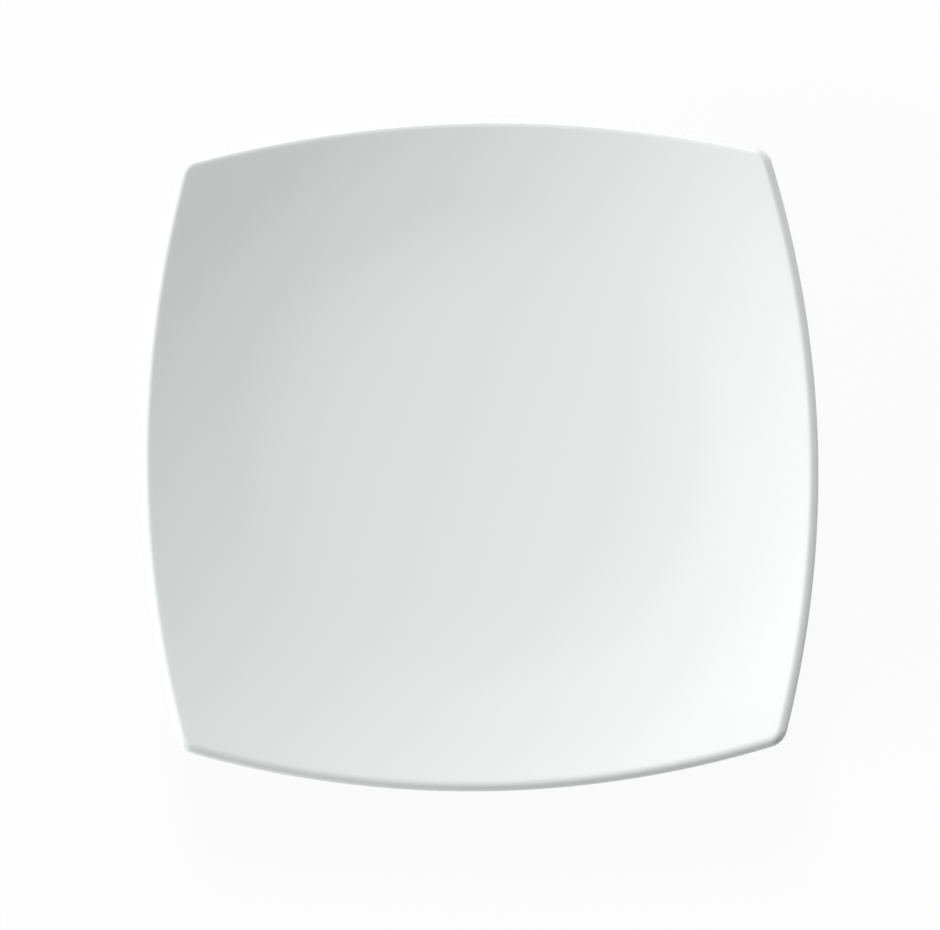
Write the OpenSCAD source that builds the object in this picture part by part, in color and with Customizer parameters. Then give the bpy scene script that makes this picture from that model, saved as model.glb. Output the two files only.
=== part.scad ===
// Square coupe dinner plate in white glazed porcelain.
// A shallow round bowl sweeps up into a sloping rim. Four bowed sides and four rounded corners
// trim the rim, so that the lip climbs from the middle of each side to the corners.
// The fired body stands on a round foot ring, whose standing face is left bare.
// One glaze coat runs over the face, the lip and the back as far as the foot ring, and a
// second coat lines the recess inside the ring.
// Millimetres, +Z up, origin at the middle of the foot ring's standing face.

/* [Outline] */
// Width across the middles of two opposite sides, over the glaze
plate_w = 270; // [230:1:320]
// Radius of the arc that each side bows out on, over the glaze
side_r = 407; // [330:1:700]
// Radius of the corners seen from above, over the glaze
corner_r = 8.5; // [5:0.5:18]

/* [Dish] */
// Diameter of the shallow bowl in the middle
well_d = 124; // [100:1:140]
// Radius of the arc that the bowl's section follows
bowl_r = 1000; // [700:10:2000]
// Radius of the sweep that lifts the rim out of the bowl
sweep_r = 345; // [250:5:450]
// Slope of the rim in degrees
rim_slope = 16.5; // [12:0.1:20]

/* [Wall] */
// Thickness of the fired body in the bowl
wall_t = 5.8; // [4:0.1:8]
// Thickness of the fired body at the rounded lip
lip_t = 6.2; // [4:0.1:9]

/* [Foot ring] */
// Diameter of the ring along the middle of its standing face
foot_d = 150; // [120:1:170]
// Width of the flat standing face between its rounded edges
foot_face_w = 2.6; // [1.5:0.1:5]
// Clearance under the middle of the recess inside the ring
foot_h = 3.2; // [2.8:0.1:6]
// Lean of the ring's two sides in degrees
foot_lean = 18; // [5:1:30]
// Rounding along both edges of the standing face
foot_edge_r = 0.8; // [0.4:0.1:1]
// Reach of the fillets between the ring and the underside
foot_fillet = 2; // [1:0.1:3]

/* [Glaze] */
// Thickness of both glaze coats
glaze_t = 0.3; // [0.15:0.05:0.5]
// Height of the bare band up both sides of the foot ring
bare_h = 1.2; // [1:0.1:1.6]

/* [Hidden] */

// How finely each stretch of the skin is divided
side_steps = 14;
corner_steps = 6;
well_steps = 2;
rim_steps = 6;
lip_steps = 8;
back_steps = 5;
fillet_steps = 2;
edge_steps = 2;
recess_steps = 2;

// Steps round the plate, each quarter from the middle of one side to the middle of the next
quarter_steps = side_steps + corner_steps;
round_steps = 4 * quarter_steps;
corner_start = side_steps / 2;
corner_end = corner_start + corner_steps;

// Radii and heights that follow from the sizes above
well_r = well_d / 2;
well_z = foot_h + wall_t;
foot_r = foot_d / 2;
root_reach = min(foot_fillet, (foot_h - bare_h) / cos(foot_lean));

// The bowl's section is struck from over the middle of the plate. The sweep's section is struck
// from a point on the line through the bowl's edge, so that the two run into each other.
well_slope = asin(well_r / bowl_r);
bowl_centre = [0, well_z + bowl_r];
sweep_centre = bowl_centre + (bowl_r - sweep_r) * toward(well_slope - 90);

// The body's outline lies one coat inside the glazed outline. Each side's arc is struck from
// a point on the plate's middle line, and each corner's arc from a point on the diagonal.
body_half_w = plate_w / 2 - glaze_t;
body_side_r = side_r - glaze_t;
body_corner_r = corner_r - glaze_t;
side_centre = body_half_w - body_side_r;
corner_centre = (side_centre + sqrt(2 * (body_side_r - body_corner_r) ^ 2 - side_centre ^ 2)) / 2;
side_half_angle = atan2(corner_centre, corner_centre - side_centre);

// A point at a share of the way from a to b
function between(a, b, share) = a + (b - a) * share;

// A point of the curve that leaves a toward b and arrives at c from b
function bend(a, b, c, share) = between(between(a, b, share), between(b, c, share), share);

// A list from its last entry to its first
function reversed(list) = [for (k = [len(list) - 1:-1:0]) list[k]];

// A direction in plan
function toward(angle) = [cos(angle), sin(angle)];

// A plan point turned about the middle of the plate
function turned(p, angle) = p.x * toward(angle) + p.y * toward(angle + 90);

// A plan point lifted to a height
function lifted(p, z) = [p.x, p.y, z];

// The lower height of a circle at a distance from the middle
function arc_z(centre, r, distance) = centre.y - sqrt(r ^ 2 - (distance - centre.x) ^ 2);

// Height of the surface that lies at a depth under the face, at a distance from the middle:
// the arc of the bowl, then the arc of the sweep, then a straight slope
function dish_z(distance, depth) =
    let (well_end = bowl_centre + (bowl_r + depth) * toward(well_slope - 90))
    let (sweep_end = sweep_centre + (sweep_r + depth) * toward(rim_slope - 90))
    distance <= well_end.x ? arc_z(bowl_centre, bowl_r + depth, distance) :
    distance <= sweep_end.x ? arc_z(sweep_centre, sweep_r + depth, distance) :
    sweep_end.y + (distance - sweep_end.x) * tan(rim_slope);

// How steeply the face rises at a distance from the middle, in degrees
function dish_slope(distance) =
    distance <= well_r ? asin(distance / bowl_r) :
    asin(min((distance - sweep_centre.x) / sweep_r, sin(rim_slope)));

// The direction that the outline faces at a step of a quarter
function edge_angle(step) = lookup(step, [
    [0, 0],
    [corner_start, side_half_angle],
    [corner_end, 90 - side_half_angle],
    [quarter_steps, 90]
]);

// The outline's point at a step of a quarter: on a side, on the corner or on the next side
function edge_point(step) =
    step <= corner_start ? [side_centre, 0] + body_side_r * toward(edge_angle(step)) :
    step <= corner_end ? [corner_centre, corner_centre] + body_corner_r * toward(edge_angle(step)) :
    [0, side_centre] + body_side_r * toward(edge_angle(step));

// The outline all the way round, and the direction that it faces at each point
edges = [for (quarter = [0:3]) for (step = [0:quarter_steps - 1]) turned(edge_point(step), 90 * quarter)];
outward = [for (quarter = [0:3]) for (step = [0:quarter_steps - 1]) toward(edge_angle(step) + 90 * quarter)];

// A level ring of points at a radius
function ring(r, z) = [for (i = [0:round_steps - 1]) lifted(r * toward(360 * i / round_steps), z)];

// The lip is a half round on the thickened end of the wall, square to the rim's slope. Its way
// runs from 1, where it leaves the face, through 0, its outermost line, to -1, where it meets
// the back.
function lip_point(i, way) =
    let (middle = edges[i] - outward[i] * lip_t / 2)
    let (distance = norm(middle))
    let (top = dish_z(distance, 0))
    let (bottom = dish_z(distance, lip_t))
    let (tilt = atan(tan(dish_slope(distance)) * (middle * outward[i]) / distance))
    let (lip_r = (top - bottom) / 2 * cos(tilt))
    let (reach = lip_r * toward(90 * way + tilt * abs(way)))
    lifted(middle + outward[i] * reach.x, (top + bottom) / 2 + reach.y);

function lip_ring(way) = [for (i = [0:round_steps - 1]) lip_point(i, way)];

// A ring at a share of the way between two others, laid on the face or the back
function dish_ring(from, to, share, depth) = [
    for (i = [0:round_steps - 1])
        let (p = between(from[i], to[i], share))
        lifted(p, dish_z(norm([p.x, p.y]), depth))
];

// Half the width of the foot ring at a height: the flat face, a rounded edge, a leaning side
edge_top_z = foot_edge_r * (1 - sin(foot_lean));
function foot_half_w(z) =
    foot_face_w / 2 + foot_edge_r * cos(foot_lean) + (z - edge_top_z) * tan(foot_lean);

// One side of the foot ring's profile as [radius, height], from the underside through the
// fillet and the bare line to the standing face. The way is 1 outside the ring and -1 inside.
function foot_side(way) =
    let (root_z = dish_z(foot_r + way * foot_half_w(foot_h), wall_t))
    let (root = [foot_r + way * foot_half_w(root_z), root_z])
    let (out_r = root.x + way * root_reach)
    let (wall_z = root_z - root_reach * cos(foot_lean))
    let (wall = [foot_r + way * foot_half_w(wall_z), wall_z])
    let (edge_centre = [foot_r + way * foot_face_w / 2, foot_edge_r])
    concat(
        [for (k = [0:fillet_steps]) bend([out_r, dish_z(out_r, wall_t)], root, wall, k / fillet_steps)],
        [[foot_r + way * foot_half_w(bare_h), bare_h]],
        [for (k = [0:edge_steps])
            let (down = toward(between(-foot_lean, -90, k / edge_steps)))
            edge_centre + foot_edge_r * [way * down.x, down.y]]
    );

// The body's skin as rings, from the bowl over the lip and down the back to the recess. The
// wall thins from the lip to the foot ring.
outer_side = [for (p = foot_side(1)) ring(p.x, p.y)];
inner_side = [for (p = foot_side(-1)) ring(p.x, p.y)];
centre_ring = ring(0, 0);
well_ring = ring(well_r, dish_z(well_r, 0));
well_rings = [for (k = [1:well_steps - 1]) dish_ring(centre_ring, well_ring, k / well_steps, 0)];
face_rings = [for (k = [0:rim_steps - 1]) dish_ring(well_ring, lip_ring(1), k / rim_steps, 0)];
lip_rings = [for (k = [0:lip_steps]) lip_ring(1 - 2 * k / lip_steps)];
back_rings = [
    for (k = [1:back_steps - 1])
        let (share = k / back_steps)
        dish_ring(lip_ring(-1), outer_side[0], share, between(lip_t, wall_t, share))
];
recess_rings = [
    for (k = [1:recess_steps - 1]) dish_ring(inner_side[0], centre_ring, k / recess_steps, wall_t)
];
skin = concat(
    well_rings, face_rings, lip_rings, back_rings, outer_side, reversed(inner_side), recess_rings
);
well_pole = [0, 0, well_z];
recess_pole = [0, 0, foot_h];

// The rings where the two coats end, on the outer and the inner side of the foot ring
over_foot = len(well_rings) + len(face_rings) + len(lip_rings) + len(back_rings);
outer_bare = over_foot + fillet_steps + 1;
inner_bare = len(skin) - len(recess_rings) - fillet_steps - 2;

// The direction that the skin faces at a point, from the points around it
function skin_normal(j, i) =
    let (before = j == 0 ? well_pole : skin[j - 1][i])
    let (after = j == len(skin) - 1 ? recess_pole : skin[j + 1][i])
    let (left = skin[j][(i + 1) % round_steps])
    let (right = skin[j][(i + round_steps - 1) % round_steps])
    let (facing = cross(after - before, left - right))
    facing / norm(facing);

// A ring of the skin moved out to the top of the glaze
function coat_ring(j) = [for (i = [0:round_steps - 1]) skin[j][i] + glaze_t * skin_normal(j, i)];

// The two triangles of a four-sided patch, parted along its shorter diagonal. Two lofts that
// share rings then share these triangles too, whichever way they run.
function patch(points, a, b, c, d) =
    norm(points[c] - points[a]) <= norm(points[d] - points[b]) ?
        [[a, b, c], [a, c, d]] :
        [[a, b, d], [b, c, d]];

// A closed solid through a list of rings, with a fan of triangles over each end
module loft(start, rings, end) {
    points = concat([start], [for (r = rings) each r], [end]);
    last_ring = len(rings) - 1;
    function at(j, i) = 1 + j * round_steps + i % round_steps;
    polyhedron(points, [
        for (i = [0:round_steps - 1]) each concat(
            [[0, at(0, i + 1), at(0, i)]],
            [for (j = [0:last_ring - 1])
                each patch(points, at(j, i), at(j, i + 1), at(j + 1, i + 1), at(j + 1, i))],
            [[len(points) - 1, at(last_ring, i), at(last_ring, i + 1)]]
        )
    ]);
}

// The fired porcelain body with its foot ring
module porcelain_body() {
    color("ivory")
        loft(well_pole, skin, recess_pole);
}

// The coat over the face, the lip and the back, down to the bare band of the foot ring
module outer_glaze() {
    color("white")
        loft(
            well_pole + [0, 0, glaze_t],
            concat(
                [for (j = [0:outer_bare]) coat_ring(j)],
                [for (j = [outer_bare:-1:0]) skin[j]]
            ),
            well_pole
        );
}

// The coat that lines the recess, from the bare band of the foot ring to the middle
module recess_glaze() {
    color("white")
        loft(
            recess_pole,
            concat(
                [for (j = [len(skin) - 1:-1:inner_bare]) skin[j]],
                [for (j = [inner_bare:len(skin) - 1]) coat_ring(j)]
            ),
            recess_pole - [0, 0, glaze_t]
        );
}

porcelain_body();
outer_glaze();
recess_glaze();
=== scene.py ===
"""Square coupe dinner plate in white glazed porcelain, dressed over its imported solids.

The plate has one skin: a section that is carried round a bowed square. The section runs from the
middle of the bowl up the sweep and the rim, over the rounded lip, down the back, round the foot
ring and into the recess, and firing warps it a little. The fired body is that whole skin. Each
glaze coat is a stretch of it, grown outwards by the coat's thickness.

Metres and radians. +Z is up, and the origin is the middle of the foot ring's standing face. Points
in plan are complex numbers, x + iy, and points of the section are radius + i height.
"""

import logging
import math
from dataclasses import dataclass
from enum import Enum, IntEnum

import bpy
import numpy as np
import numpy.typing as npt
from mathutils import Matrix, Vector


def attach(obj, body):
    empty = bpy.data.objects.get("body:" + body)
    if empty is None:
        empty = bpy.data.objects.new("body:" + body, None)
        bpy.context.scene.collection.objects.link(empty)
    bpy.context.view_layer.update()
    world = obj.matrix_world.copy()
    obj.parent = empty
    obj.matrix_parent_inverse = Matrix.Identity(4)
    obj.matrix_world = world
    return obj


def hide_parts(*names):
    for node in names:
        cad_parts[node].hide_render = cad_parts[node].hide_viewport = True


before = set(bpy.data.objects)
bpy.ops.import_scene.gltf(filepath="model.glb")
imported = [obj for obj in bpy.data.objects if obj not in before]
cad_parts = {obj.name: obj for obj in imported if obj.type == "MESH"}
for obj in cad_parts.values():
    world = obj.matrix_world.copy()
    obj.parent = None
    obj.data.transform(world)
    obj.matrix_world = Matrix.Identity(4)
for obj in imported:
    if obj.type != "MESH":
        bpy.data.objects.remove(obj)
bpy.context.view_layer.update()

log = logging.getLogger("square_plate")

Reals = npt.NDArray[np.float64]
Points = npt.NDArray[np.complex128]
Colour = tuple[float, float, float]
Socket = bpy.types.NodeSocket

BODY = "root"
SIDES = 4
SHARP_ANGLE = math.radians(60)
WHITE: Colour = (1.0, 1.0, 1.0)


class FootSide(Enum):
    """The two sides of the foot ring, by the way that each faces."""

    OUTER = 1
    INNER = -1


class Coat(Enum):
    """The two glaze coats, which the bare standing face keeps apart."""

    OUTER = "outer_glaze"
    RECESS = "recess_glaze"


class MixInput(IntEnum):
    """Places of a Mix node's inputs, whose names repeat."""

    SHARE = 0
    FIRST_VALUE = 2
    SECOND_VALUE = 3
    FIRST_COLOUR = 6
    SECOND_COLOUR = 7


class MixOutput(IntEnum):
    """Places of a Mix node's outputs, whose names repeat."""

    VALUE = 0
    COLOUR = 2


@dataclass(frozen=True)
class PlateSizes:
    """The plate's sizes. All but the glaze's bead are those of the solids.

    Attributes:
        width: Across the middles of two opposite sides, over the glaze.
        side_radius: Radius of the arc that each side bows out on, over the glaze.
        corner_radius: Radius of the corners seen from above, over the glaze.
        well_radius: Radius of the shallow bowl in the middle, seen from above.
        bowl_radius: Radius of the arc that the bowl's section follows.
        sweep_radius: Radius of the sweep that lifts the rim out of the bowl.
        rim_slope: Slope of the rim.
        wall: Thickness of the fired body in the bowl.
        lip: Thickness of the fired body at the rounded lip.
        foot_radius: Radius of the foot ring along the middle of its standing face.
        foot_face: Width of the flat standing face.
        foot_clearance: Clearance under the middle of the recess.
        foot_lean: Lean of the foot ring's two sides.
        foot_edge: Rounding along both edges of the standing face.
        foot_fillet: Reach of the fillets between the foot ring and the underside.
        glaze: Thickness of both coats.
        glaze_bead: Length over which a coat rounds off to nothing at its edge.
        bare: Height of the bare band up both sides of the foot ring.
    """

    width: float = 0.270
    side_radius: float = 0.407
    corner_radius: float = 0.0085
    well_radius: float = 0.062
    bowl_radius: float = 1.0
    sweep_radius: float = 0.345
    rim_slope: float = math.radians(16.5)
    wall: float = 0.0058
    lip: float = 0.0062
    foot_radius: float = 0.075
    foot_face: float = 0.0026
    foot_clearance: float = 0.0032
    foot_lean: float = math.radians(18.0)
    foot_edge: float = 0.0008
    foot_fillet: float = 0.002
    glaze: float = 0.0003
    glaze_bead: float = 0.0005
    bare: float = 0.0012

    @property
    def well_height(self) -> float:
        """Height of the middle of the fired face."""
        return self.foot_clearance + self.wall


@dataclass(frozen=True)
class Shoulder:
    """The soft shoulder round the well, a tenth of a millimetre and so left out of the solids.

    The face dips a little inside the shoulder and swells as much outside it.

    Attributes:
        radius: Where the shoulder is steepest, seen from above.
        reach: From there in to the bottom of the dip, and out to the top of the swell.
        height: Depth of the dip, and height of the swell.
    """

    radius: float = 0.101
    reach: float = 0.0105
    height: float = 0.0001

    def swell(self, distance: Reals) -> Reals:
        """Height that the shoulder adds at each distance: a straight slope times a bell curve."""
        along = (distance - self.radius) / self.reach
        return self.height * along * np.exp((1 - along**2) / 2)


@dataclass(frozen=True)
class Dish:
    """The fired face, and the surfaces that lie at a depth under it.

    Attributes:
        sizes: The plate's sizes.
        shoulder: The soft shoulder on the face.
    """

    sizes: PlateSizes
    shoulder: Shoulder

    @property
    def bowl_centre(self) -> complex:
        """Point of the section that the bowl's arc is struck from, over the middle."""
        return 1j * (self.sizes.well_height + self.sizes.bowl_radius)

    @property
    def sweep_centre(self) -> complex:
        """Point that the sweep's arc is struck from, in line with the bowl's edge and centre."""
        well_slope = math.asin(self.sizes.well_radius / self.sizes.bowl_radius)
        spare = self.sizes.bowl_radius - self.sizes.sweep_radius
        return self.bowl_centre - 1j * spare * np.exp(1j * well_slope)

    def height(self, distance: Reals, depth: Reals | float) -> Reals:
        """Height of the surface that lies at a depth under the face.

        The section is the bowl's arc, then the sweep's arc, which leaves it without a kink, then
        a straight line at the rim's slope. A depth adds to the radius of both arcs.

        Args:
            distance: Distances from the middle of the plate.
            depth: Depths under the face, in a shape that goes with the distances.

        Returns:
            The heights, in the shape that both arguments have together.
        """
        sizes = self.sizes
        bowl, sweep = sizes.bowl_radius + depth, sizes.sweep_radius + depth
        bowl_end = bowl * sizes.well_radius / sizes.bowl_radius
        sweep_end = self.sweep_centre.real + sweep * math.sin(sizes.rim_slope)
        over_sweep = np.minimum(distance, sweep_end) - self.sweep_centre.real
        on_bowl = self.bowl_centre.imag - np.sqrt(bowl**2 - distance**2)
        on_sweep = self.sweep_centre.imag - np.sqrt(sweep**2 - over_sweep**2)
        on_rim = on_sweep + np.maximum(distance - sweep_end, 0) * math.tan(sizes.rim_slope)
        return np.where(distance <= bowl_end, on_bowl, on_rim)

    def face(self, distance: Reals) -> Reals:
        """Height of the face at each distance: its section with the shoulder's swell added."""
        return self.height(distance, 0.0) + self.shoulder.swell(distance)

    def rise(self, distance: Reals) -> Reals:
        """Rise of the face over each unit outwards: the arcs' own slope, up to the rim's.

        Args:
            distance: Distances from the middle of the plate.

        Returns:
            The tangents of the slopes, in the same shape.
        """
        sizes = self.sizes
        in_bowl = distance / sizes.bowl_radius
        in_sweep = (distance - self.sweep_centre.real) / sizes.sweep_radius
        sine = np.where(distance <= sizes.well_radius, in_bowl, in_sweep)
        return np.tan(np.arcsin(np.minimum(sine, math.sin(sizes.rim_slope))))


@dataclass(frozen=True)
class FiringWarp:
    """The slight warp that firing leaves: the sides of the rim lift and its corners sag.

    It is small beside the wall, so the solids leave it out.

    Attributes:
        sag: How far the corners sag.
        start: Distance from the middle where the warp sets in, just outside the foot ring.
        full: Distance from the middle where it is at its full height.
    """

    sag: float = 0.0006
    start: float = 0.082
    full: float = 0.150

    def lift(self, plan: Points) -> Reals:
        """Height that the warp adds: a smooth step outwards times a wave with a crest a side."""
        along = np.clip((np.abs(plan) - self.start) / (self.full - self.start), 0, 1)
        return self.sag * along**2 * (3 - 2 * along) * np.cos(SIDES * np.angle(plan))


@dataclass(frozen=True)
class Outline:
    """The bowed square that the lip follows.

    Attributes:
        sizes: The plate's sizes.
        side_steps: Steps along half a side.
        corner_steps: Steps round a corner.
    """

    sizes: PlateSizes
    side_steps: int = 36
    corner_steps: int = 28

    @property
    def steps(self) -> int:
        """Steps all the way round."""
        return SIDES * (2 * self.side_steps + self.corner_steps)

    def walk(self) -> tuple[Points, Points]:
        """Points of the fired body's outline and the direction that it faces at each.

        A quarter runs from the middle of a side round a corner to the middle of the next side.
        Each side's arc is struck from a point on the plate's middle line, and the corner's arc
        from the point on the diagonal where both run into it. The other quarters are the first
        one turned by right angles.

        Returns:
            The points, and as many unit directions.
        """
        sizes = self.sizes
        side_radius = sizes.side_radius - sizes.glaze
        corner_radius = sizes.corner_radius - sizes.glaze
        side_centre = sizes.width / 2 - sizes.glaze - side_radius
        spread = math.sqrt(2 * (side_radius - corner_radius) ** 2 - side_centre**2)
        corner_centre = (side_centre + spread) / 2
        half_angle = math.atan2(corner_centre, corner_centre - side_centre)
        counts = [self.side_steps, self.corner_steps, self.side_steps]
        turns = [0, half_angle, math.pi / 2 - half_angle, math.pi / 2]
        facing = np.interp(
            np.arange(sum(counts)), np.concatenate([[0], np.cumsum(counts)]), turns
        )
        centres = np.repeat(
            [side_centre, corner_centre * (1 + 1j), side_centre * 1j], counts
        )
        radii = np.repeat([side_radius, corner_radius, side_radius], counts)
        outward = np.exp(1j * facing)
        quarters = 1j ** np.arange(SIDES)
        return (
            np.outer(quarters, centres + radii * outward).ravel(),
            np.outer(quarters, outward).ravel(),
        )


@dataclass(frozen=True)
class Rings:
    """Rings of points round the plate, one row for each ring.

    Attributes:
        plan: Where the points are, seen from above.
        height: How high they are.
    """

    plan: Points
    height: Reals

    def points(self) -> Reals:
        """The points as an array of rings, steps and three coordinates."""
        return np.stack([self.plan.real, self.plan.imag, self.height], axis=-1)


@dataclass(frozen=True)
class Waver:
    """One wave in the wiped edge of the glaze.

    Attributes:
        crests: How many crests it has round the foot ring.
        share: Height of the crests, as a share of the bare band's height.
        phase: How far the wave is turned round the foot ring, in its own angle.
    """

    crests: int
    share: float
    phase: float


@dataclass(frozen=True)
class Skin:
    """The fired body's skin as rings, from the middle of the bowl to the middle of the recess.

    Attributes:
        sizes: The plate's sizes.
        outline: The bowed square that the lip follows.
        dish: The face and the surfaces under it.
        warp: The warp that firing leaves.
        well_rings: Rings in the bowl.
        rim_rings: Rings from the bowl to the lip.
        lip_rings: Rings round the lip.
        back_rings: Rings from the lip to the foot ring.
        fillet_rings: Rings in each fillet of the foot ring.
        side_rings: Rings down each glazed side of the foot ring.
        bare_rings: Rings from each bare line to the standing face.
        recess_rings: Rings in the recess.
        wavers: The waves in the wiped edge of the glaze.
    """

    sizes: PlateSizes
    outline: Outline
    dish: Dish
    warp: FiringWarp
    well_rings: int = 16
    rim_rings: int = 44
    lip_rings: int = 37
    back_rings: int = 32
    fillet_rings: int = 9
    side_rings: int = 14
    bare_rings: int = 10
    recess_rings: int = 16
    wavers: tuple[Waver, ...] = (Waver(3, 0.05, 0.4), Waver(8, 0.03, 1.9), Waver(19, 0.02, 2.7))

    @property
    def outer_bare(self) -> int:
        """The ring where the outer coat ends."""
        above = self.well_rings + self.rim_rings + self.lip_rings + self.back_rings
        return above + self.fillet_rings + self.side_rings - 1

    @property
    def inner_bare(self) -> int:
        """The ring where the recess coat ends."""
        return self.outer_bare + 2 * self.bare_rings + 1

    @property
    def poles(self) -> tuple[Reals, Reals]:
        """The middle of the bowl and the middle of the recess."""
        return (
            np.array([0.0, 0.0, self.sizes.well_height]),
            np.array([0.0, 0.0, self.sizes.foot_clearance]),
        )

    @property
    def turn(self) -> Reals:
        """Even angles round the plate, one for each step."""
        return 2 * np.pi * np.arange(self.outline.steps) / self.outline.steps

    def lip(self, way: Reals) -> Rings:
        """The lip, a half round on the thickened end of the wall, square to the rim's slope.

        Args:
            way: 1 where the lip leaves the face, 0 on its outermost line, -1 where it meets the
                back, and any values between.

        Returns:
            One ring for each way.
        """
        edge, outward = self.outline.walk()
        middle = edge - outward * self.sizes.lip / 2
        distance = np.abs(middle)
        top = self.dish.face(distance)
        bottom = self.dish.height(distance, self.sizes.lip)
        across = (middle * outward.conj()).real / distance
        lean = np.arctan(self.dish.rise(distance) * across)
        radius = (top - bottom) / 2 * np.cos(lean)
        angle = np.outer(way, np.full_like(lean, np.pi / 2)) + np.outer(np.abs(way), lean)
        return Rings(
            middle + outward * radius * np.cos(angle),
            (top + bottom) / 2 + radius * np.sin(angle),
        )

    def on_face(self, start: Points, end: Points, share: Reals) -> Rings:
        """Rings at shares of the straight way between two others in plan, laid on the face."""
        plan = start + np.outer(share, end - start)
        return Rings(plan, self.dish.face(np.abs(plan)))

    def under_face(self, start: Points, end: Points, share: Reals, depth: Reals) -> Rings:
        """Rings at shares of the straight way between two others in plan, each at its depth."""
        plan = start + np.outer(share, end - start)
        return Rings(plan, self.dish.height(np.abs(plan), depth[:, None]))

    def bare_line(self) -> Reals:
        """Height of the wiped edge of the glaze: level, with the sum of its waves added."""
        waves = [
            wave.share * np.sin(wave.crests * self.turn + wave.phase) for wave in self.wavers
        ]
        return self.sizes.bare * (1 + np.sum(waves, axis=0))

    def foot_half_width(self, height: Reals | float) -> Reals | float:
        """Half the width of the foot ring at a height on its two leaning sides.

        It is the half width where the small rounds end, and widens from there by the lean.

        Args:
            height: Heights over the standing face.

        Returns:
            The half widths, in the same shape.
        """
        sizes = self.sizes
        edge_top = sizes.foot_edge * (1 - math.sin(sizes.foot_lean))
        at_edge = sizes.foot_face / 2 + sizes.foot_edge * math.cos(sizes.foot_lean)
        return at_edge + (height - edge_top) * math.tan(sizes.foot_lean)

    def foot_side(self, side: FootSide) -> Rings:
        """One side of the foot ring, from the underside to the standing face.

        A quadratic curve fillets the underside into the leaning side. The side runs straight to
        the bare line and on to a small round, which ends on the flat of the standing face.

        Args:
            side: Which side of the ring.

        Returns:
            The rings of the fillet, the glazed side and the bare edge, in that order.
        """
        sizes, way = self.sizes, side.value
        root_height = float(
            self.dish.height(
                sizes.foot_radius + way * self.foot_half_width(sizes.foot_clearance), sizes.wall
            )
        )
        reach = min(
            sizes.foot_fillet, (sizes.foot_clearance - sizes.bare) / math.cos(sizes.foot_lean)
        )
        low = root_height - reach * math.cos(sizes.foot_lean)
        root = sizes.foot_radius + way * self.foot_half_width(root_height) + 1j * root_height
        out = root.real + way * reach
        start = out + 1j * float(self.dish.height(out, sizes.wall))
        end = sizes.foot_radius + way * self.foot_half_width(low) + 1j * low
        along = np.linspace(0, 1, self.fillet_rings)
        fillet = start * (1 - along) ** 2 + 2 * root * along * (1 - along) + end * along**2

        share = np.sin(np.linspace(0, np.pi / 2, self.side_rings + 1))[1:]
        glazed = low + np.outer(share, self.bare_line() - low)
        down = np.linspace(-sizes.foot_lean, -np.pi / 2, self.bare_rings)
        centre = sizes.foot_radius + way * sizes.foot_face / 2 + 1j * sizes.foot_edge
        edge = centre + sizes.foot_edge * (way * np.cos(down) + 1j * np.sin(down))

        level = np.ones_like(self.turn)
        radius = np.concatenate(
            [
                np.outer(fillet.real, level),
                sizes.foot_radius + way * self.foot_half_width(glazed),
                np.outer(edge.real, level),
            ]
        )
        height = np.concatenate(
            [np.outer(fillet.imag, level), glazed, np.outer(edge.imag, level)]
        )
        return Rings(radius * np.exp(1j * self.turn), height)

    def rings(self) -> Reals:
        """All the rings of the skin, in order.

        Returns:
            An array of rings, steps and three coordinates, without the two poles.
        """
        sizes = self.sizes
        well = sizes.well_radius * np.exp(1j * self.turn)
        lip = self.lip(np.linspace(1, -1, self.lip_rings))
        outer, inner = self.foot_side(FootSide.OUTER), self.foot_side(FootSide.INNER)
        to_edge = np.linspace(0, 1, self.well_rings + 1)[1:]
        to_lip = np.linspace(0, 1, self.rim_rings + 2)[1:-1]
        to_foot = np.linspace(0, 1, self.back_rings + 2)[1:-1]
        to_middle = np.linspace(0, 1, self.recess_rings + 2)[1:-1]
        stretches = [
            self.on_face(0 * well, well, to_edge),
            self.on_face(well, lip.plan[0], to_lip),
            lip,
            self.under_face(
                lip.plan[-1], outer.plan[0], to_foot, sizes.lip + (sizes.wall - sizes.lip) * to_foot
            ),
            outer,
            Rings(inner.plan[::-1], inner.height[::-1]),
            self.under_face(inner.plan[0], 0 * well, to_middle, sizes.wall + 0 * to_middle),
        ]
        rings = np.concatenate([stretch.points() for stretch in stretches])
        rings[..., 2] += self.warp.lift(rings[..., 0] + 1j * rings[..., 1])
        return rings

    def normals(self, rings: Reals) -> Reals:
        """Directions that the skin faces, square to the lines through each point's neighbours.

        Args:
            rings: The skin's rings.

        Returns:
            Unit directions, in the same shape.
        """
        top, bottom = (np.broadcast_to(pole, rings[:1].shape) for pole in self.poles)
        padded = np.concatenate([top, rings, bottom])
        along = padded[2:] - padded[:-2]
        across = np.roll(rings, -1, axis=1) - np.roll(rings, 1, axis=1)
        facing = np.cross(along, across)
        return facing / np.linalg.norm(facing, axis=-1, keepdims=True)


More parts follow.
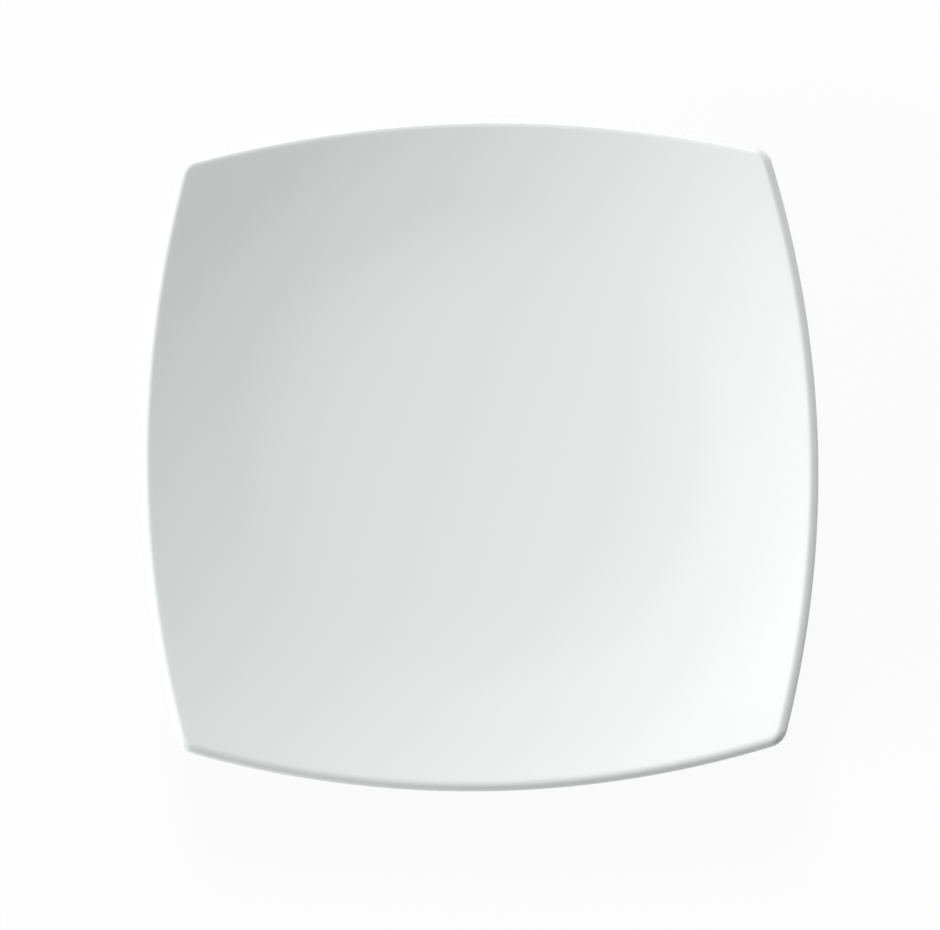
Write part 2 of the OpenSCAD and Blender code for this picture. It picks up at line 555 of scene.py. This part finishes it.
def loft(name: str, start: Reals, rings: Reals, end: Reals) -> bpy.types.Object:
    """A closed mesh through rings of points, with a fan of triangles over each end.

    Args:
        name: Name of the object and of its mesh.
        start: The point over the first ring.
        rings: An array of rings, steps and three coordinates.
        end: The point over the last ring.

    Returns:
        The object, in the scene and at the origin.
    """
    count, steps = rings.shape[:2]
    points = np.concatenate([start[None], rings.reshape(-1, 3), end[None]])
    here = 1 + np.arange(count * steps).reshape(count, steps)
    ahead = np.roll(here, -1, axis=1)
    last = np.full(steps, len(points) - 1)
    quads = np.stack([here[:-1], here[1:], ahead[1:], ahead[:-1]], axis=-1).reshape(-1, 4)
    first_fan = np.stack([0 * last, here[0], ahead[0]], axis=-1)
    last_fan = np.stack([last, ahead[-1], here[-1]], axis=-1)
    mesh = bpy.data.meshes.new(name)
    mesh.from_pydata(
        points.tolist(), [], first_fan.tolist() + quads.tolist() + last_fan.tolist()
    )
    mesh.polygons.foreach_set("use_smooth", np.ones(len(mesh.polygons), dtype=bool))
    mesh.set_sharp_from_angle(angle=SHARP_ANGLE)
    mesh.update()
    piece = bpy.data.objects.new(name, mesh)
    bpy.context.scene.collection.objects.link(piece)
    return piece


def opaque(colour: Colour) -> tuple[float, float, float, float]:
    """A colour with full alpha."""
    return (*colour, 1.0)


class Tree:
    """A node tree that is filled node by node.

    Attributes:
        tree: The node tree of a material, a world or a group.
    """

    def __init__(self, tree: bpy.types.NodeTree) -> None:
        """Takes over a tree and empties it."""
        self.tree = tree
        tree.nodes.clear()

    def add(
        self, kind: str, values: dict[str | int, object] | None = None, **settings: object
    ) -> bpy.types.Node:
        """Adds a node.

        Args:
            kind: The node's type.
            values: What goes into its inputs, by name or place: a socket to link, or a value.
            **settings: The node's own settings.

        Returns:
            The node.
        """
        node = self.tree.nodes.new(kind)
        for name, value in settings.items():
            setattr(node, name, value)
        for place, value in (values or {}).items():
            if isinstance(value, Socket):
                self.tree.links.new(value, node.inputs[place])
            else:
                node.inputs[place].default_value = value
        return node

    def mix_values(self, share: Socket | float, first: Socket, second: Socket) -> Socket:
        """Mixes two values: each counts by its share, and the shares add up to 1.

        Args:
            share: Share of the second value.
            first: The value at share 0.
            second: The value at share 1.

        Returns:
            The socket of the mixed value.
        """
        values = {
            MixInput.SHARE: share,
            MixInput.FIRST_VALUE: first,
            MixInput.SECOND_VALUE: second,
        }
        node = self.add("ShaderNodeMix", values, data_type="FLOAT")
        return node.outputs[MixOutput.VALUE]

    def mix_colours(self, share: Socket, first: Colour, second: Colour) -> Socket:
        """Mixes two plain colours: each counts by its share, and the shares add up to 1.

        Args:
            share: Share of the second colour.
            first: The colour at share 0.
            second: The colour at share 1.

        Returns:
            The socket of the mixed colour.
        """
        values = {
            MixInput.SHARE: share,
            MixInput.FIRST_COLOUR: opaque(first),
            MixInput.SECOND_COLOUR: opaque(second),
        }
        node = self.add("ShaderNodeMix", values, data_type="RGBA")
        return node.outputs[MixOutput.COLOUR]

    def combine(self, operation: str, first: Socket, second: Socket) -> Socket:
        """One number from two others, by the operation of a Math node."""
        return self.add("ShaderNodeMath", {0: first, 1: second}, operation=operation).outputs[0]

    def bump(self, height: Socket, distance: float) -> Socket:
        """Normals of a surface on which a height of 1 stands up by the distance."""
        values = {"Strength": 1.0, "Distance": distance, "Height": height}
        return self.add("ShaderNodeBump", values).outputs["Normal"]


@dataclass(frozen=True)
class MottleEffect:
    """Soft cloudy patches, a noise stretched to run from 0 to 1.

    Attributes:
        name: Name of the node group.
        detail: Detail of the noise.
        low: Value of the noise that becomes 0.
        high: Value of the noise that becomes 1.
    """

    name: str = "soft_mottle"
    detail: float = 3.0
    low: float = 0.3
    high: float = 0.7

    def group(self) -> bpy.types.NodeTree:
        """The node group, built on its first use.

        Returns:
            The group, with the inputs Coordinates and Scale and the output Value.
        """
        if self.name in bpy.data.node_groups:
            return bpy.data.node_groups[self.name]
        group = bpy.data.node_groups.new(self.name, "ShaderNodeTree")
        group.interface.new_socket("Coordinates", in_out="INPUT", socket_type="NodeSocketVector")
        group.interface.new_socket("Scale", in_out="INPUT", socket_type="NodeSocketFloat")
        group.interface.new_socket("Value", in_out="OUTPUT", socket_type="NodeSocketFloat")
        tree = Tree(group)
        given = tree.add("NodeGroupInput").outputs
        noise = tree.add(
            "ShaderNodeTexNoise",
            {"Vector": given["Coordinates"], "Scale": given["Scale"], "Detail": self.detail},
        )
        stretched = tree.add(
            "ShaderNodeMapRange",
            {"Value": noise.outputs[0], "From Min": self.low, "From Max": self.high},
        )
        tree.add("NodeGroupOutput", {"Value": stretched.outputs[0]})
        return group


@dataclass(frozen=True)
class RippleEffect:
    """A fine unevenness of the surface, a broad noise and a fine one added by a share.

    Attributes:
        name: Name of the node group.
        detail: Detail of both noises.
    """

    name: str = "fine_ripple"
    detail: float = 1.0

    def group(self) -> bpy.types.NodeTree:
        """The node group, built on its first use.

        Returns:
            The group, with the inputs Coordinates, Broad scale, Fine scale and Fine share and
            the output Height.
        """
        if self.name in bpy.data.node_groups:
            return bpy.data.node_groups[self.name]
        group = bpy.data.node_groups.new(self.name, "ShaderNodeTree")
        group.interface.new_socket("Coordinates", in_out="INPUT", socket_type="NodeSocketVector")
        for name in ("Broad scale", "Fine scale", "Fine share"):
            group.interface.new_socket(name, in_out="INPUT", socket_type="NodeSocketFloat")
        group.interface.new_socket("Height", in_out="OUTPUT", socket_type="NodeSocketFloat")
        tree = Tree(group)
        given = tree.add("NodeGroupInput").outputs
        broad, fine = (
            tree.add(
                "ShaderNodeTexNoise",
                {"Vector": given["Coordinates"], "Scale": given[scale], "Detail": self.detail},
            ).outputs[0]
            for scale in ("Broad scale", "Fine scale")
        )
        both = tree.mix_values(given["Fine share"], broad, fine)
        tree.add("NodeGroupOutput", {"Height": both})
        return group


@dataclass(frozen=True)
class GlazeFinish:
    """Clear gloss over white, a little cooler where the glaze lies deep.

    Attributes:
        slot: Name of the material.
        thin: Colour where the glaze has run thin, on the lip.
        deep: Colour where the glaze lies deep, at the foot ring.
        mottle_scale: Patches of uneven depth to a metre.
        mottle_share: Share of the patches in the look of the depth.
        smooth: Roughness of the smoothest patches.
        dull: Roughness of the dullest patches.
        ripple: Height of the ripple that firing leaves.
        broad_ripples: Broad ripples to a metre.
        fine_ripples: Fine ripples to a metre.
        fine_share: Share of the fine ripples.
        ior: Index of refraction of the glaze.
    """

    slot: str = "white_glaze"
    thin: Colour = (0.885, 0.890, 0.880)
    deep: Colour = (0.850, 0.872, 0.868)
    mottle_scale: float = 22.0
    mottle_share: float = 0.25
    smooth: float = 0.09
    dull: float = 0.15
    ripple: float = 0.00004
    broad_ripples: float = 60.0
    fine_ripples: float = 260.0
    fine_share: float = 0.2
    ior: float = 1.5

    def material(self) -> bpy.types.Material:
        """The glaze's material, made on its first use.

        Returns:
            A material that reads Object coordinates and the attribute glaze_depth.
        """
        if self.slot in bpy.data.materials:
            return bpy.data.materials[self.slot]
        material = bpy.data.materials.new(self.slot)
        material.use_nodes = True
        tree = Tree(material.node_tree)
        where = tree.add("ShaderNodeTexCoord").outputs["Object"]
        depth = tree.add("ShaderNodeAttribute", attribute_name="glaze_depth").outputs["Fac"]
        mottle = tree.add(
            "ShaderNodeGroup",
            {"Coordinates": where, "Scale": self.mottle_scale},
            node_tree=MottleEffect().group(),
        ).outputs["Value"]
        uneven = tree.mix_values(self.mottle_share, depth, mottle)
        colour = tree.mix_colours(uneven, self.thin, self.deep)
        roughness = tree.add(
            "ShaderNodeMapRange", {"Value": mottle, "To Min": self.smooth, "To Max": self.dull}
        ).outputs[0]
        ripple = tree.add(
            "ShaderNodeGroup",
            {
                "Coordinates": where,
                "Broad scale": self.broad_ripples,
                "Fine scale": self.fine_ripples,
                "Fine share": self.fine_share,
            },
            node_tree=RippleEffect().group(),
        ).outputs["Height"]
        shader = tree.add(
            "ShaderNodeBsdfPrincipled",
            {
                "Base Color": colour,
                "Roughness": roughness,
                "IOR": self.ior,
                "Normal": tree.bump(ripple, self.ripple),
            },
        )
        tree.add("ShaderNodeOutputMaterial", {"Surface": shader.outputs[0]})
        return material


@dataclass(frozen=True)
class BarePorcelainFinish:
    """Matte fired clay, ground smooth in rings on the standing face.

    Attributes:
        slot: Name of the material.
        pale: Colour of the clean patches.
        dusky: Colour of the patches that use has greyed.
        mottle_scale: Patches to a metre.
        smooth: Roughness of the smoothest patches.
        rough: Roughness of the roughest patches.
        grain: Height of the grain and of the grinding rings.
        broad_grains: Broad grains to a metre.
        fine_grains: Fine grains to a metre.
        fine_share: Share of the fine grains.
        ring_scale: Grinding rings to a metre, outwards.
        ring_detail: Detail of the grinding rings.
        ring_share: Share of the grinding rings beside the grain.
    """

    slot: str = "bare_porcelain"
    pale: Colour = (0.855, 0.838, 0.800)
    dusky: Colour = (0.790, 0.770, 0.725)
    mottle_scale: float = 160.0
    smooth: float = 0.68
    rough: float = 0.84
    grain: float = 0.00006
    broad_grains: float = 1200.0
    fine_grains: float = 4200.0
    fine_share: float = 0.5
    ring_scale: float = 3500.0
    ring_detail: float = 2.0
    ring_share: float = 0.4

    def material(self) -> bpy.types.Material:
        """The bare clay's material.

        Returns:
            A material that reads Object coordinates.
        """
        material = bpy.data.materials.new(self.slot)
        material.use_nodes = True
        tree = Tree(material.node_tree)
        where = tree.add("ShaderNodeTexCoord").outputs["Object"]
        mottle = tree.add(
            "ShaderNodeGroup",
            {"Coordinates": where, "Scale": self.mottle_scale},
            node_tree=MottleEffect().group(),
        ).outputs["Value"]
        colour = tree.mix_colours(mottle, self.pale, self.dusky)
        roughness = tree.add(
            "ShaderNodeMapRange", {"Value": mottle, "To Min": self.smooth, "To Max": self.rough}
        ).outputs[0]
        grain = tree.add(
            "ShaderNodeGroup",
            {
                "Coordinates": where,
                "Broad scale": self.broad_grains,
                "Fine scale": self.fine_grains,
                "Fine share": self.fine_share,
            },
            node_tree=RippleEffect().group(),
        ).outputs["Height"]
        in_plan = tree.add(
            "ShaderNodeVectorMath", {0: where, 1: (1.0, 1.0, 0.0)}, operation="MULTIPLY"
        ).outputs["Vector"]
        radius = tree.add(
            "ShaderNodeVectorMath", {0: in_plan}, operation="LENGTH"
        ).outputs["Value"]
        rings = tree.add(
            "ShaderNodeTexNoise",
            {"W": radius, "Scale": self.ring_scale, "Detail": self.ring_detail},
            noise_dimensions="1D",
        ).outputs[0]
        ground = tree.mix_values(self.ring_share, grain, rings)
        shader = tree.add(
            "ShaderNodeBsdfPrincipled",
            {
                "Base Color": colour,
                "Roughness": roughness,
                "Normal": tree.bump(ground, self.grain),
            },
        )
        tree.add("ShaderNodeOutputMaterial", {"Surface": shader.outputs[0]})
        return material


@dataclass(frozen=True)
class PorcelainBody:
    """The fired body with its foot ring, which shows on the bare standing face.

    Attributes:
        skin: The body's skin.
        finish: The bare clay's finish.
        node: The solid that it stands for.
    """

    skin: Skin
    finish: BarePorcelainFinish
    node: str = "porcelain_body"

    def build(self) -> bpy.types.Object:
        """The body as one closed mesh: the whole skin between its two poles."""
        top, bottom = self.skin.poles
        return loft("fired_body", top, self.skin.rings(), bottom)

    def dress(self, piece: bpy.types.Object) -> None:
        """Gives the body its finish and its place on the frame.

        Args:
            piece: The body.
        """
        piece.data.materials.append(self.finish.material())
        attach(piece, BODY)
        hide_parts(self.node)


@dataclass(frozen=True)
class GlazeDepths:
    """How deep the glaze looks in each place, from 0 where it runs thin to 1 where it gathers.

    Attributes:
        well: In the middle of the face.
        rim: On the rim, and on the back beside the lip.
        lip: On the lip's outermost line.
        back: Beside the foot ring's outer fillet.
        fillet: At the foot of both fillets.
        bare_line: At the bare lines.
        recess: In the middle of the recess.
        fade_rings: Rings on each side of the lip over which the glaze starts to run thin.
    """

    well: float = 0.55
    rim: float = 0.5
    lip: float = 0.0
    back: float = 0.6
    fillet: float = 1.0
    bare_line: float = 0.4
    recess: float = 0.5
    fade_rings: int = 6


@dataclass(frozen=True)
class GlazeCoat:
    """A glaze coat: a stretch of the skin, grown outwards, with a rounded edge at the bare line.

    Attributes:
        coat: Which of the two coats.
        skin: The body's skin.
        finish: The glaze's finish.
        depths: How deep the glaze looks in each place.
        inner_stride: Every how many of the skin's rings the coat's hidden inner side has one.
    """

    coat: Coat
    skin: Skin
    finish: GlazeFinish
    depths: GlazeDepths = GlazeDepths()
    inner_stride: int = 4

    def thickness(self, rings: Reals) -> Reals:
        """The coat's thickness at each point: even, with a quarter round at the bare line.

        Args:
            rings: The coat's rings, the last of them on the bare line.

        Returns:
            An array of rings and steps.
        """
        sizes = self.skin.sizes
        steps = np.linalg.norm(np.diff(rings, axis=0), axis=-1)
        to_edge = np.cumsum(steps[::-1], axis=0)[::-1]
        to_edge = np.concatenate([to_edge, 0 * to_edge[:1]])
        missing = 1 - np.clip(to_edge / sizes.glaze_bead, 0, 1)
        return sizes.glaze * np.sqrt(1 - missing**2)

    def depth_by_ring(self, count: int) -> Reals:
        """How deep the glaze looks on each ring, in straight lines between the named places.

        Args:
            count: How many rings the coat has.

        Returns:
            One value for each ring.
        """
        skin, depths = self.skin, self.depths
        lip = skin.well_rings + skin.rim_rings
        back = lip + skin.lip_rings
        foot = back + skin.back_rings
        if self.coat is Coat.OUTER:
            places = {
                0: depths.well,
                lip - depths.fade_rings: depths.rim,
                (lip + back) / 2: depths.lip,
                back + depths.fade_rings: depths.rim,
                foot: depths.back,
                foot + skin.fillet_rings: depths.fillet,
                count: depths.bare_line,
            }
        else:
            places = {
                0: depths.recess,
                count - skin.side_rings: depths.fillet,
                count: depths.bare_line,
            }
        return np.interp(np.arange(count), list(places), list(places.values()))

    def build(self) -> bpy.types.Object:
        """The coat as one closed mesh: its glossy side, then the skin under it.

        Returns:
            The coat, with the attribute glaze_depth.
        """
        skin = self.skin
        rings = skin.rings()
        normals = skin.normals(rings)
        top, bottom = skin.poles
        grown = np.array([0.0, 0.0, skin.sizes.glaze])
        if self.coat is Coat.OUTER:
            stretch = slice(None, skin.outer_bare + 1)
            pole, glossy_pole = top, top + grown
        else:
            stretch = slice(None, skin.inner_bare - 1, -1)
            pole, glossy_pole = bottom, bottom - grown
        under, facing = rings[stretch], normals[stretch]
        glossy = under + facing * self.thickness(under)[..., None]
        hidden = under[-2 :: -self.inner_stride]
        depth = self.depth_by_ring(len(glossy))
        shell = np.concatenate([glossy, hidden])
        if self.coat is Coat.RECESS:
            shell = shell[:, ::-1]
        piece = loft(self.coat.value + "_coat", glossy_pole, shell, pole)
        by_ring = np.concatenate([depth, np.full(len(hidden), depth[-1])])
        values = np.concatenate([depth[:1], np.repeat(by_ring, shell.shape[1]), depth[-1:]])
        attribute = piece.data.attributes.new("glaze_depth", "FLOAT", "POINT")
        attribute.data.foreach_set("value", values.astype(np.float32))
        return piece

    def dress(self, piece: bpy.types.Object) -> None:
        """Gives the coat its finish and its place on the frame.

        Args:
            piece: The coat.
        """
        piece.data.materials.append(self.finish.material())
        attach(piece, BODY)
        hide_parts(self.coat.value)


@dataclass(frozen=True)
class Softbox:
    """A rectangular soft light that faces the plate.

    Attributes:
        name: Name of the light.
        azimuth: Its direction in plan, from +X.
        elevation: How high it stands.
        power: Its power, in watts.
        distance: Its distance from the plate.
        width: Its width.
        height: Its height.
    """

    name: str
    azimuth: float
    elevation: float
    power: float
    distance: float = 8.0
    width: float = 4.5
    height: float = 3.0

    def build(self) -> bpy.types.Object:
        """The light, turned to face the origin.

        Returns:
            The light, in the scene.
        """
        data = bpy.data.lights.new(self.name, "AREA")
        data.shape = "RECTANGLE"
        data.size = self.width
        data.size_y = self.height
        data.energy = self.power
        lamp = bpy.data.objects.new(self.name, data)
        level = math.cos(self.elevation)
        toward = Vector(
            (
                math.cos(self.azimuth) * level,
                math.sin(self.azimuth) * level,
                math.sin(self.elevation),
            )
        )
        lamp.location = toward * self.distance
        lamp.rotation_euler = (-toward).to_track_quat("-Z", "Y").to_euler()
        bpy.context.scene.collection.objects.link(lamp)
        return lamp


@dataclass(frozen=True)
class Studio:
    """The floor, the soft lights and the white surround.

    Attributes:
        floor_half: Half the floor's width.
        floor_gap: Drop of the floor under the standing face.
        floor_white: Share of plain white in the floor that the camera sees beside the plate.
        floor_near: Distance from the middle of the plate where that share starts to grow.
        floor_far: Distance where the floor is plain white and has lost all shadow.
        floor_colour: Colour of the floor under the lights.
        ambient: Colour of the even, slightly cool light from all round.
        key: The stronger light, from the left.
        second: The weaker light, from the far side.
    """

    floor_half: float = 6.0
    floor_gap: float = 0.0001
    floor_white: float = 0.93
    floor_near: float = 0.16
    floor_far: float = 0.45
    floor_colour: Colour = (0.88, 0.88, 0.88)
    ambient: Colour = (0.183, 0.196, 0.194)
    key: Softbox = Softbox(
        "key_softbox", azimuth=math.radians(192), elevation=math.radians(12), power=640.0
    )
    second: Softbox = Softbox(
        "second_softbox", azimuth=math.radians(96), elevation=math.radians(34), power=545.0
    )

    def seen_directly(self, tree: Tree) -> Socket:
        """A mask of the rays that show the surround itself: camera, mirror and glass rays.

        Args:
            tree: The tree that uses the mask.

        Returns:
            The socket of the mask.
        """
        rays = tree.add("ShaderNodeLightPath").outputs
        mirrored = tree.combine("MAXIMUM", rays["Is Camera Ray"], rays["Is Glossy Ray"])
        return tree.combine("MAXIMUM", mirrored, rays["Is Transmission Ray"])

    def build_world(self) -> None:
        """An even surround: white to the camera, and a plain level of light to the plate."""
        world = bpy.data.worlds.new("white_surround")
        world.use_nodes = True
        tree = Tree(world.node_tree)
        colour = tree.mix_colours(self.seen_directly(tree), self.ambient, WHITE)
        light = tree.add("ShaderNodeBackground", {"Color": colour, "Strength": 1.0})
        tree.add("ShaderNodeOutputWorld", {"Surface": light.outputs[0]})
        bpy.context.scene.world = world

    def build_floor(self) -> bpy.types.Object:
        """A level floor, a grid of two by two points.

        Returns:
            The floor.
        """
        edges = [-self.floor_half, self.floor_half]
        x, y = np.meshgrid(edges, edges)
        points = np.stack([x, y, np.full_like(x, -self.floor_gap)], axis=-1).reshape(-1, 3)
        mesh = bpy.data.meshes.new("studio_floor")
        mesh.from_pydata(points.tolist(), [], [(0, 1, 3, 2)])
        floor = bpy.data.objects.new("studio_floor", mesh)
        bpy.context.scene.collection.objects.link(floor)
        material = bpy.data.materials.new("studio_floor")
        material.use_nodes = True
        tree = Tree(material.node_tree)
        where = tree.add("ShaderNodeTexCoord").outputs["Object"]
        away = tree.add("ShaderNodeVectorMath", {0: where}, operation="LENGTH").outputs["Value"]
        white_share = tree.add(
            "ShaderNodeMapRange",
            {
                "Value": away,
                "From Min": self.floor_near,
                "From Max": self.floor_far,
                "To Min": self.floor_white,
                "To Max": 1.0,
            },
            interpolation_type="SMOOTHSTEP",
        ).outputs[0]
        share = tree.combine("MULTIPLY", self.seen_directly(tree), white_share)
        lit = tree.add("ShaderNodeBsdfDiffuse", {"Color": opaque(self.floor_colour)})
        white = tree.add("ShaderNodeEmission", {"Color": opaque(WHITE), "Strength": 1.0})
        both = tree.add(
            "ShaderNodeMixShader", {0: share, 1: lit.outputs[0], 2: white.outputs[0]}
        )
        tree.add("ShaderNodeOutputMaterial", {"Surface": both.outputs[0]})
        mesh.materials.append(material)
        return floor


@dataclass(frozen=True)
class PhotoCamera:
    """The camera at the photograph's angle.

    Attributes:
        lean: X and Y of the unit direction from the plate to the camera.
        distance: From the aim to the camera.
        aim_height: Height of the point that the camera aims at, over the origin.
        roll: Turn of the picture, anticlockwise.
        pixels_per_metre: Scale of the picture at the aim.
        aim_pixel: Where the aim comes in the picture, from its top left corner.
        picture: Width and height of the picture in pixels.
        sensor: Width of the sensor in millimetres.
    """

    lean: tuple[float, float] = (0.0326, -0.1244)
    distance: float = 1.0
    aim_height: float = 0.0187
    roll: float = math.radians(0.68)
    pixels_per_metre: float = 2506.6
    aim_pixel: tuple[float, float] = (478.1, 449.9)
    picture: tuple[int, int] = (940, 930)
    sensor: float = 36.0

    def build(self) -> bpy.types.Object:
        """The camera: its axes turned by the roll, and its frame shifted to the aim's pixel.

        Returns:
            The camera, set as the scene's own.
        """
        width, height = self.picture
        data = bpy.data.cameras.new("photo_camera")
        data.sensor_width = self.sensor
        data.lens = self.sensor * self.pixels_per_metre * self.distance / width
        data.shift_x = (width / 2 - self.aim_pixel[0]) / width
        data.shift_y = (self.aim_pixel[1] - height / 2) / width
        back = Vector((*self.lean, math.sqrt(1 - self.lean[0] ** 2 - self.lean[1] ** 2)))
        up = (Vector((0.0, 1.0, 0.0)) - back * back.y).normalized()
        right = up.cross(back)
        side = right * math.cos(self.roll) - up * math.sin(self.roll)
        top = right * math.sin(self.roll) + up * math.cos(self.roll)
        camera = bpy.data.objects.new("photo_camera", data)
        camera.matrix_world = Matrix.Translation(
            back * self.distance + Vector((0.0, 0.0, self.aim_height))
        ) @ Matrix((side, top, back)).transposed().to_4x4()
        bpy.context.scene.collection.objects.link(camera)
        bpy.context.scene.camera = camera
        return camera


def main() -> None:
    """Builds the plate piece by piece, then the studio and the camera."""
    logging.basicConfig(level=logging.INFO, format="%(name)s: %(message)s")
    bpy.context.scene.view_settings.view_transform = "Standard"
    sizes = PlateSizes()
    skin = Skin(sizes, Outline(sizes), Dish(sizes, Shoulder()), FiringWarp())
    glaze = GlazeFinish()
    parts = [
        PorcelainBody(skin, BarePorcelainFinish()),
        GlazeCoat(Coat.OUTER, skin, glaze),
        GlazeCoat(Coat.RECESS, skin, glaze),
    ]
    for part in parts:
        piece = part.build()
        part.dress(piece)
        log.info("%s: %d faces", piece.name, len(piece.data.polygons))
    studio = Studio()
    studio.build_world()
    lights = [studio.key.build(), studio.second.build()]
    for item in [studio.build_floor(), *lights, PhotoCamera().build()]:
        log.info("%s is set up", item.name)


if __name__ == "__main__":
    main()
